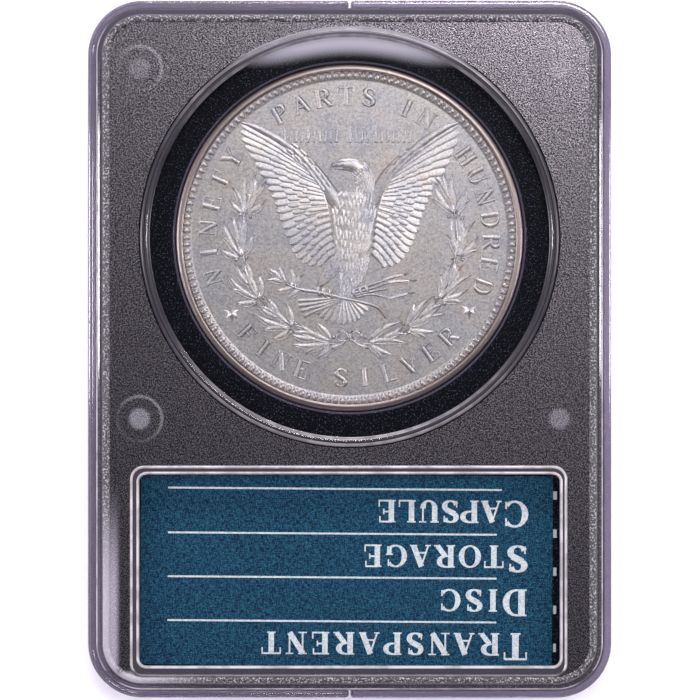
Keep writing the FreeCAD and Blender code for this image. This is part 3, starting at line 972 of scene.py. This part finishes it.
ARM_POINTS = 60
SCALES_END = 34
BODY = ((0.5, 5.0), (0.5, 4.2), (0.5, 3.0), (0.4, 1.5), (0.3, 0.0), (0.15, -1.5), (0.0, -3.0))
BODY += ((-0.1, -4.4),)
BODY_HALVES = (1.3, 2.45, 2.45, 2.25, 2.05, 1.75, 1.3, 0.8)
NECK = ((1.2, 2.6), (1.8, 4.4), (1.75, 5.6), (1.65, 6.4), (1.3, 7.2), (0.65, 7.8), (-0.15, 8.05))
NECK += ((-0.85, 8.05), (-1.3, 7.95))
NECK_HALVES = (1.3, 1.4, 1.15, 1.05, 0.98, 0.85, 0.7, 0.5, 0.34)
NECK_RISES = (0.15, 0.25, 0.27, 0.27, 0.27, 0.27)
LEFT_THIGH = ((-0.9, -1.6), (-1.7, -3.1), (-2.6, -4.4), (-3.5, -5.5))
RIGHT_THIGH = ((1.35, -1.8), (1.2, -3.3), (0.85, -4.6), (0.4, -5.8))
THIGHS = ((LEFT_THIGH, (0.95, 0.8, 0.5, 0.2)), (RIGHT_THIGH, (0.9, 0.7, 0.42, 0.2)))
RUMP = ((0.0, -2.4), (-0.15, -4.0), (-0.35, -5.6), (-0.6, -6.9))
RUMP_HALVES = (1.0, 0.95, 0.8, 0.6)
TAIL_ROOTS = ((-1.2, -6.7), (-0.65, -6.5), (0.0, -6.7))
TAIL_TIPS = ((-3.6, -8.3), (-2.9, -9.0), (-1.7, -9.4), (-0.65, -9.5), (0.4, -9.3), (1.2, -8.8))
TAIL_TIPS += ((2.0, -8.0),)
TAIL_FEATHERS = 11
UPPER_BEAK = ((-1.1, 8.1), (-1.6, 8.02), (-1.95, 7.8), (-2.05, 7.4))
LOWER_BEAK = ((-0.7, 7.6), (-1.2, 7.58), (-1.6, 7.55))
BROW = ((-1.5, 8.22), (-1.0, 8.4), (-0.2, 8.3))
TOES = ((-3.4, -5.6), (-2.8, -5.75), (-2.1, -5.9), (0.5, -5.75), (1.2, -5.5), (1.9, -5.3))


def along_line(line, count):
    """Points at even steps of index along a given line, on a smooth curve through it."""
    line = np.asarray(line, float)
    place = np.linspace(0, len(line) - 1, count)
    start = np.clip(place.astype(int), 0, len(line) - 2)
    share = (place - start)[:, None]
    padded = np.concatenate([2 * line[:1] - line[1:2], line, 2 * line[-1:] - line[-2:-1]])
    p0, p1, p2, p3 = (padded[start + i] for i in range(4))
    bend = (2 * p0 - 5 * p1 + 4 * p2 - p3) * share + (3 * p1 - p0 - 3 * p2 + p3) * share**2
    return p1 + 0.5 * share * (p2 - p0 + bend)


def stroke(line, widths, base, rises, section=ROUND_SECTION, count=14):
    """One ridge along a given line, its half widths and heights given at even steps."""
    path = along_line(line, count)[None]
    place = np.linspace(0, 1, count)
    widths, rises = (
        np.interp(place, np.linspace(0, 1, np.size(values)), np.atleast_1d(values))[None]
        for values in (widths, rises)
    )
    return ridges(path, widths, section, base, rises)


def wing(tips, roots, arm):
    """Tiers of feathers between the line of the roots and the line of the tips. A tier's feathers
    start and stop at shares of the way, are as wide as their spacing, and end in a half round."""
    groups = []
    section = TILE_SECTION * (-np.sign(tips[0][0]), 1)
    share = 1 - (1 - np.linspace(0, 1, FEATHER_ROWS)) ** 2
    end_round = np.sqrt(1 - ((share - 0.88).clip(0) / 0.122) ** 2)
    share = share[None, :, None]
    for count, first, last, lift, rise in TIERS:
        root = along_line(roots, count)[:, None]
        tip = along_line(tips, count)[:, None]
        reach = last - 0.1 * (1 - last) * np.sin(np.arange(count) * 2.4)[:, None, None]
        way = first + (reach - first) * share
        side = (tip - root)[..., ::-1] * (-1, 1)
        bow = 0.035 * np.sign(tips[0][0]) * np.sin(np.pi * way)
        paths = root + (tip - root) * way + side * bow
        spacing = np.linalg.norm(np.gradient(paths, axis=0), axis=2)
        halves = 0.62 * spacing * end_round
        rises = rise + 0.03 * (1 - way[..., 0])
        groups.append(ridges(paths, halves, section, GROUND_Z + lift, rises))
    groups.append(stroke(arm, ARM_HALVES, GROUND_Z, ARM_RISES, count=26))
    arm_line = along_line(arm, ARM_POINTS)
    tangent = unit(np.gradient(arm_line, axis=0))
    step = np.linspace(0, 1, 6)[None, :, None]
    halves = 0.21 * np.sqrt(1 - (step[..., 0] - 0.4).clip(0) ** 2 / 0.37)
    for first, shift in ((12, -0.42), (10, 0.0), (12, 0.42)):
        way = tangent[first:SCALES_END:4]
        start = arm_line[first:SCALES_END:4] + way[:, ::-1] * (-1, 1) * shift
        paths = start[:, None] + way[:, None] * step * 0.95
        lie = GROUND_Z + 0.2 - 0.1 * shift**2
        groups.append(ridges(paths, halves, FEATHER_SECTION, lie, 0.12))
    return groups


def laid_feathers(line, widths, rise, columns, rows, length, half):
    """Small feathers on a rounded ridge, in staggered rows down its line. Each is placed by its
    share of the half width, and lies on the ridge's own half-ellipse. The line is cut into sixty
    points, and a feather is length of them long."""
    count = 60
    path = along_line(line, count)
    width = np.interp(np.linspace(0, 1, count), np.linspace(0, 1, len(widths)), widths)
    across = unit(np.gradient(path, axis=0))[:, ::-1] * (-1, 1)
    steps = 6
    starts, sides = [], []
    for row in range(rows):
        spread = np.linspace(-0.88, 0.88, columns) + (0.88 / columns) * (row % 2)
        spread = spread[spread < 0.93]
        sides.append(spread + 0.03 * np.sin(37 * spread + 11 * row))
        stagger = 0.4 + 0.4 * np.sin(23 * spread + 7 * row)
        starts.append((row + stagger) / (rows + 1) * (count - length - 1))
    place = np.concatenate(starts)[:, None] + np.linspace(0, length, steps)
    side = np.concatenate(sides)[:, None]
    low = place.astype(int)
    spot = path[low] + (path[low + 1] - path[low]) * (place - low)[..., None]
    spot = spot + across[low] * (side * width[low])[..., None]
    lie = rise * np.sqrt(1 - side**2) + np.linspace(-0.1, 0.0, steps)
    shape = np.sqrt(1 - (np.linspace(0, 1, steps) - 0.45).clip(0) ** 2 / 0.31)
    return ridges(spot, half * shape, FEATHER_SECTION, GROUND_Z + lie, 0.11)


def eagle():
    """The whole figure: wings, then body, neck, head, thighs, rump, tail and toes over them."""
    groups = wing(LEFT_TIPS, ROOTS, LEFT_ARM)
    groups += wing(RIGHT_TIPS, [(0.85 - x, y) for x, y in ROOTS], RIGHT_ARM)
    groups.append(stroke(BODY, BODY_HALVES, GROUND_Z, 0.26, count=26))
    groups.append(laid_feathers(BODY, BODY_HALVES, 0.22, columns=8, rows=12, length=7, half=0.27))
    groups.append(stroke(NECK, NECK_HALVES, GROUND_Z, NECK_RISES, count=26))
    nape, nape_halves = NECK[::-1][3:], NECK_HALVES[::-1][3:]
    groups.append(laid_feathers(nape, nape_halves, 0.22, columns=7, rows=8, length=10, half=0.14))
    groups.append(domes((-0.45, 8.02), 0.95, 0.72, -0.12, GROUND_Z, 0.29, sides=16))
    groups.append(stroke(UPPER_BEAK, (0.36, 0.27, 0.17, 0.04), GROUND_Z, 0.27))
    groups.append(stroke(LOWER_BEAK, (0.18, 0.12, 0.04), GROUND_Z, 0.22))
    groups.append(stroke(BROW, (0.06, 0.14, 0.05), GROUND_Z + 0.21, 0.12))
    groups.append(domes((-0.85, 8.05), 0.19, 0.14, 0.0, GROUND_Z + 0.24, 0.09))
    for line, widths in THIGHS:
        groups.append(stroke(line, widths, GROUND_Z, 0.24))
        groups.append(laid_feathers(line, widths, 0.22, columns=5, rows=8, length=12, half=0.14))
    groups.append(stroke(RUMP, RUMP_HALVES, GROUND_Z, 0.2))
    groups.append(laid_feathers(RUMP, RUMP_HALVES, 0.2, columns=5, rows=9, length=8, half=0.15))
    tips = along_line(TAIL_TIPS, TAIL_FEATHERS)[:, None]
    roots = along_line(TAIL_ROOTS, TAIL_FEATHERS)[:, None]
    share = (1 - (1 - np.linspace(0, 1, 8)) ** 2)[None, :, None]
    end_round = np.sqrt(1 - ((share[..., 0] - 0.86).clip(0) / 0.143) ** 2)
    halves = (0.12 + 0.24 * share[..., 0]) * end_round
    groups.append(ridges(roots + (tips - roots) * share, halves, FEATHER_SECTION, GROUND_Z, 0.14))
    for x, y in TOES:
        toe = ((x, y + 0.2), (x - 0.05, y - 0.35), (x + 0.3, y - 0.8))
        groups.append(stroke(toe, (0.26, 0.22, 0.06), GROUND_Z, 0.32, count=8))
    return groups


strike("eagle", eagle(), silver_relief)

# ---- Perch and wreath ------------------------------------------------------------------------
# Below the eagle lie an olive spray and a bundle of arrows, three of whose heads show. Round it
# runs an open wreath of leaves, in clusters of six with pairs between, tied with a bow.
SPRAY = ((-7.6, -4.6), (-6.2, -5.4), (-4.9, -5.75), (-3.2, -6.0), (-1.0, -6.55), (0.9, -6.95))
SPRAY += ((2.6, -7.4), (3.4, -7.9), (4.0, -8.8))
SPRAY_LEAVES = (
    ((-7.4, -4.75), (-9.05, -3.4)),
    ((-7.0, -4.9), (-7.65, -3.1)),
    ((-6.3, -5.25), (-6.5, -3.25)),
    ((-5.9, -5.4), (-5.05, -3.95)),
    ((-7.0, -5.0), (-9.1, -4.65)),
    ((-6.2, -5.4), (-7.9, -5.75)),
    ((-5.3, -5.7), (-6.65, -6.75)),
)
SPRAY_HALVES = (0.1, 0.17, 0.2, 0.2, 0.2, 0.2, 0.19, 0.17, 0.1)
# A fletching is where it starts and the height at which it ends.
FLETCHINGS = (((-5.6, -6.9), -6.6), ((-5.55, -7.45), -6.75))
FLETCHINGS += (((-5.3, -8.0), -6.9), ((-5.0, -8.6), -7.05))
SHAFTS = (((0.2, -5.75), (2.0, -5.25), (3.9, -4.65)), ((0.4, -6.05), (2.2, -5.6), (4.3, -4.9)))
SHAFTS += (((0.8, -6.5), (2.4, -6.2), (4.4, -6.6)), ((0.6, -6.3), (2.3, -5.9), (4.0, -5.6)))
ARROW_HEADS = (((3.7, -4.65), (6.6, -3.85)), ((4.0, -4.95), (7.4, -4.65)))
ARROW_HEADS += (((4.2, -6.75), (7.15, -5.95)),)
# A cluster is its angle round the coin and its radius, and a leaf its lean and its length.
CLUSTERS = ((168.0, 11.7), (191.0, 12.1), (215.0, 12.1), (238.0, 11.7), (261.0, 11.6))
LEAF_BOW = 0.08
HALF_WAY = 9
HALF_WAY_LEAVES = ((-13, 2.9), (9, 2.9))
WREATH_RADIUS = 11.8
WREATH_ENDS = (263, 162)
BOW_CENTRE = np.array([0.72, -10.65])
BOW_RADII = np.array([0.62, 0.5])
BOW_TAIL = ((0.1, -11.0), (0.7, -11.6), (1.6, -11.9), (2.3, -11.75))
CLUSTER_LEAVES = ((-38, 2.6), (-18, 4.3), (-4, 4.2), (13, 4.2), (34, 3.0), (58, 2.1))


def leaves(bases, tips, half, rise):
    """Pointed leaves from bases to tips, bowed by a share of their length, whose half width goes
    as the sine of the way along."""
    bases, tips = np.asarray(bases, float)[:, None], np.asarray(tips, float)[:, None]
    way = np.linspace(0, 1, 9)[None, :, None]
    side = (tips - bases)[..., ::-1] * (-1, 1)
    bends = LEAF_BOW * np.where(np.arange(len(bases)) % 2, 1, -1)[:, None, None]
    paths = bases + (tips - bases) * way + side * bends * np.sin(np.pi * way)
    halves = half * np.sin(np.pi * (0.04 + 0.95 * way[..., 0]) ** 0.85) + 0.012
    return ridges(paths, halves, LEAF_SECTION, GROUND_Z, rise)


def perch():
    """The branch with its leaves, then the arrows' feathers, shafts and heads."""
    groups = [stroke(SPRAY, SPRAY_HALVES, GROUND_Z, 0.27, count=30)]
    groups.append(leaves(*zip(*SPRAY_LEAVES), 0.42, 0.25))
    for start, end_y in FLETCHINGS:
        line = (start, (-3.6, (start[1] * 0.6 + end_y * 0.4)), (-0.9, end_y + 0.1))
        groups.append(stroke(line, (0.22, 0.2, 0.08), GROUND_Z, 0.2, FEATHER_SECTION))
    for line in SHAFTS:
        groups.append(stroke(line, (0.15, 0.15, 0.12), GROUND_Z, 0.24))
    for line in ARROW_HEADS:
        groups.append(stroke(line, (0.16, 0.34, 0.2, 0.02), GROUND_Z, 0.24, LEAF_SECTION))
    return groups


def wreath():
    """One branch of stem, leaf clusters, single leaves half way between them and berries, drawn
    on each side in turn with half of the bow."""
    bases, tips, berries = [], [], []
    for turn_deg, radius in CLUSTERS:
        turn = math.radians(turn_deg)
        base = radius * spoke(turn)
        for lean, length in CLUSTER_LEAVES:
            way = spoke(math.radians(turn_deg - 90 + lean + 3 * math.sin(turn_deg + lean)))
            bases.append(base + 0.35 * way)
            tips.append(base + (0.35 + length) * way)
        half_way = turn - math.radians(HALF_WAY)
        for lean, length in HALF_WAY_LEAVES:
            bases.append(radius * spoke(half_way))
            tips.append(bases[-1] + length * spoke(half_way - math.pi / 2 + math.radians(lean)))
        berries += [base * 1.045, base * 0.95]
    bases, tips, berries = (np.array(value) for value in (bases, tips, berries))
    stem_path = WREATH_RADIUS * spoke(np.radians(np.linspace(*WREATH_ENDS, 40)))[None]
    loop = spoke(np.radians(np.linspace(-20, 320, 20)))
    bow_loop = (BOW_CENTRE + BOW_RADII * loop)[None]
    groups = []
    for side in (1, -1):
        flip = np.array([side, 1])
        stem_side = stem_path[:, ::side] * flip
        groups.append(ridges(stem_side, 0.12, ROUND_SECTION, GROUND_Z, 0.22))
        groups.append(leaves(bases * flip, tips * flip, 0.45, 0.26))
        groups.append(domes(berries * flip, 0.22, 0.22, 0.0, GROUND_Z, 0.27))
        groups.append(ridges(bow_loop * flip, 0.2, LEAF_SECTION, GROUND_Z, 0.27))
        tail = np.array(BOW_TAIL) * flip
        groups.append(stroke(tail, (0.16, 0.22, 0.2, 0.05), GROUND_Z, 0.22, LEAF_SECTION))
    groups.append(domes((0, -10.85), 0.3, 0.36, 0.0, GROUND_Z, 0.32, sides=12))
    return groups


strike("perch", perch(), silver_relief)
strike("rear_wreath", wreath(), silver_relief)
strike("front_wreath", wreath(), silver_relief, under=True)

# ---- Coin front ------------------------------------------------------------------------------
# The other die, seen through the front window: one large star in the wreath and a ring of small
# ones inside the beads.
FRONT_STARS = 13
FRONT_CIRCLE = 15.6
front_stars = [star((0, 0.6), 7.4, math.pi / 2, FIELD_Z - SUNK, 0.3, tips=5, waist=0.42)]
front_stars += [star((0, 0.6), 3.0, -math.pi / 2, FIELD_Z + 0.16, 0.18, tips=5, waist=0.42)]
for turn in np.arange(FRONT_STARS) / FRONT_STARS * 2 * np.pi + np.pi / 2:
    front_stars.append(star(FRONT_CIRCLE * spoke(turn), 1.05, turn, FIELD_Z - SUNK, 0.24))
strike("front_stars", front_stars, silver_relief, under=True)

# ---- Labels ----------------------------------------------------------------------------------
# Paper printed with a linen pattern, torn off a sheet along a perforation. The rear one is blue
# with its words and rules left in the paper's own white, and lies upside down to the coin.
LABEL_PLACE = np.array([-0.35, -24.2])
LABEL_TURN = math.radians(-0.43)
LABEL_TOP_Z = 4.45
INK_Z = LABEL_TOP_Z - 0.002
INK_THICKNESS = 0.012
TORN_EDGE_X = 22.3
# A rule is its Y and the X where it starts. A word is its letters and its whole length.
RULES = ((-15.3, 16.6), (-20.2, 16.1), (-25.0, 16.1), (-29.8, 16.1))
RULE_END_X = -19.9
WORDS = (("CAPSULE", 16.3), ("STORAGE", 17.8), ("DISC", 9.4), ("TRANSPARENT", 28.9))
WORD_START_X = 19.4
WORD_DROP = 1.25
CAPITAL_HEIGHTS = (2.75, 2.3)
FRONT_WORDS = (("SILVER", 14.0), ("DISC", 8.5), ("STORAGE", 12.5))
FRONT_STARTS = ((-19.5, -18.6), (-19.5, -23.0), (-19.5, -33.2))
STRIPS = 44
STRIP_YS = (-29.6, -26.0)
INK_SECTION = np.array([(-1, 0), (-1, 1), (1, 1), (1, 0)])


def paper_material(name, dark, light, torn):
    """Paper with a printed linen pattern: short light threads both ways over the ground colour.
    Beyond the torn edge, and in fine specks, the white of the paper shows."""
    paint = Paint(name)
    warp = paint.noise(0.12 * MM, 0.0, paint.place((1, 0.22, 1)))
    weft = paint.noise(0.12 * MM, 0.0, paint.place((0.22, 1, 1)))
    fleck = paint.noise(0.13 * MM, 1.0)
    cloud = paint.noise(7 * MM, 2.0)
    tone = paint.blend(cloud.step(0.3, 0.7), dark, [c * 1.25 for c in dark[:3]] + [1])
    tone = paint.blend(weft.step(0.52, 0.62) * 0.75, tone, light)
    tone = paint.blend(warp.step(0.52, 0.62) * 0.75, tone, light)
    tone = paint.blend(fleck.step(0.62, 0.7) * 0.8, tone, [c * 2.8 for c in light[:3]] + [1])
    x = paint.x_and_y()[0]
    bare = x.step((TORN_EDGE_X - 0.04) * MM, (TORN_EDGE_X + 0.04) * MM) * torn
    tone = paint.blend(bare, tone, (0.42, 0.43, 0.45, 1))
    sockets = {"Base Color": tone, "Roughness": 0.6 + fleck * 0.2, "Specular IOR Level": 0.12}
    sockets["Normal"] = paint.bump(warp + weft, 0.3, 0.01 * MM)
    return paint.principled(sockets)


def ink_material(name, low, high):
    """Print that wear thins from the colour high towards the colour low."""
    paint = Paint(name)
    wear = paint.noise(0.2 * MM, 3.0)
    tone = paint.blend(wear.step(0.3, 0.65), low, high)
    return paint.principled({"Base Color": tone, "Roughness": 0.55 + wear * 0.2})


def printed_words(words, starts, right, up, heights, base, rise):
    """Rows of capitals, each spread to its own length, the first of a row taller. starts are the
    lower ends of the first letters, and right and up are the reader's directions."""
    groups = []
    for (word, length), start in zip(words, starts):
        tall = np.where(np.arange(len(word)), heights[1], heights[0])
        widths = np.array([GLYPHS[letter][0] for letter in word]) * tall
        gap = (length - widths.sum()) / (len(word) - 1)
        middles = np.cumsum(widths + gap) - gap - widths / 2
        for letter, middle, height in zip(word, middles, tall):
            centre = np.array(start) + np.array(right) * middle + np.array(up) * height / 2
            groups += capital(letter, centre, right, up, height, INK_SECTION, base, rise, 0.66)
    return groups


def lay_print(name, groups, material, place, turn, under=False):
    """Print laid on a label: millimetres on the slab, turned by an angle about its middle."""
    points, faces = joined(groups)
    spin = np.array([[math.cos(turn), -math.sin(turn)], [math.sin(turn), math.cos(turn)]])
    points[:, :2] = (points[:, :2] - place) @ spin.T + place
    placed = points * MM
    made = add_mesh(name, turned_over(placed) if under else placed, faces, [material])
    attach(made, "slab")


def papered(node, paper):
    """Give a label's own mesh its paper."""
    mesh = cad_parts[node].data
    mesh.materials.clear()
    mesh.materials.append(paper)


BLUE_GROUND = (0.0015, 0.013, 0.036, 1)
papered("rear_label", paper_material("blue_linen_paper", BLUE_GROUND, (0.013, 0.076, 0.125, 1), 1.0))
white_ink = ink_material("bare_paper_print", (0.36, 0.42, 0.46, 1), (0.62, 0.66, 0.66, 1))
rules = np.array([((x, y), (RULE_END_X, y)) for y, x in RULES])
rear_print = [ridges(rules, 0.1, INK_SECTION, INK_Z, INK_THICKNESS)]
rear_starts = [(WORD_START_X, y - WORD_DROP) for y, x in RULES]
rear_layout = ((-1, 0), (0, -1), CAPITAL_HEIGHTS, INK_Z, INK_THICKNESS)
rear_print += printed_words(WORDS, rear_starts, *rear_layout)
lay_print("rear_print", rear_print, white_ink, LABEL_PLACE, LABEL_TURN)

PALE_GROUND = (0.5, 0.56, 0.62, 1)
papered("front_label", paper_material("pale_linen_paper", PALE_GROUND, (0.68, 0.72, 0.76, 1), 0.0))
dark_ink = ink_material("dark_ink", (0.012, 0.014, 0.02, 1), (0.03, 0.032, 0.045, 1))
front_layout = ((1, 0), (0, 1), (2.4, 2.0), INK_Z, INK_THICKNESS)
front_print = printed_words(FRONT_WORDS, FRONT_STARTS, *front_layout)
strip = np.arange(STRIPS)
strip_x = -19.3 + np.cumsum(0.32 + 0.16 * (strip * 7 % 5))
strips = np.stack([np.column_stack([strip_x, strip_x * 0 + y]) for y in STRIP_YS], 1)
strip_halves = (0.06 + 0.05 * (strip * 3 % 4))[:, None]
front_print.append(ridges(strips, strip_halves, INK_SECTION, INK_Z, INK_THICKNESS))
lay_print("front_print", front_print, dark_ink, LABEL_PLACE, 0.0, under=True)
